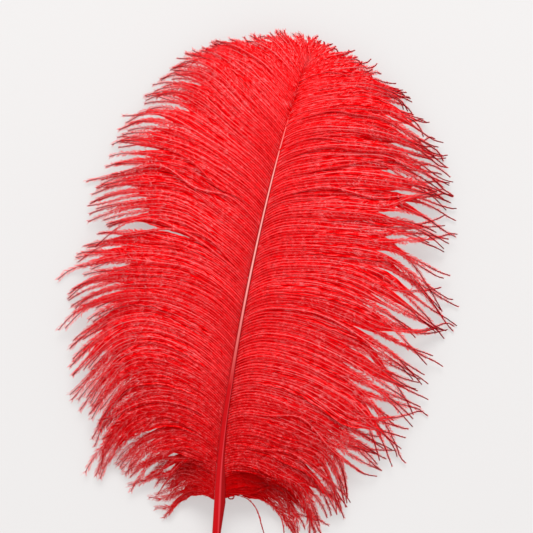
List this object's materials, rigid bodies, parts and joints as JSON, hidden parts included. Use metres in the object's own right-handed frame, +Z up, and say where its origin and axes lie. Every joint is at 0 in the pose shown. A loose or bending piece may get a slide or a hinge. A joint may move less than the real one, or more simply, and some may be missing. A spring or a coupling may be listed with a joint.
{
  "type": "ostrich feather",
  "caption": "Full dyed ostrich plume lying dorsal side up: bare quill, slender curved shaft and broad soft vanes that droop in locks to the surface.",
  "frame": {"origin": "on the surface that the feather lies on, under the middle of its box", "axes": "+Y from the cut end of the quill to the tip, +X towards the right vane seen from above, +Z up"},
  "size_m": [0.2435, 0.3752, 0.0534],
  "materials": {
    "dyed_barbs": "soft matt fluff with a silky glow at the edges, dyed a saturated scarlet red, darker at the barbs' tips",
    "dyed_shaft": "smooth horn, satin, dyed deep red at the bare quill and fading to a pale pink line higher up"
  },
  "bodies": {
    "root": {"feather": "dyed_barbs"}
  },
  "joints": []
}
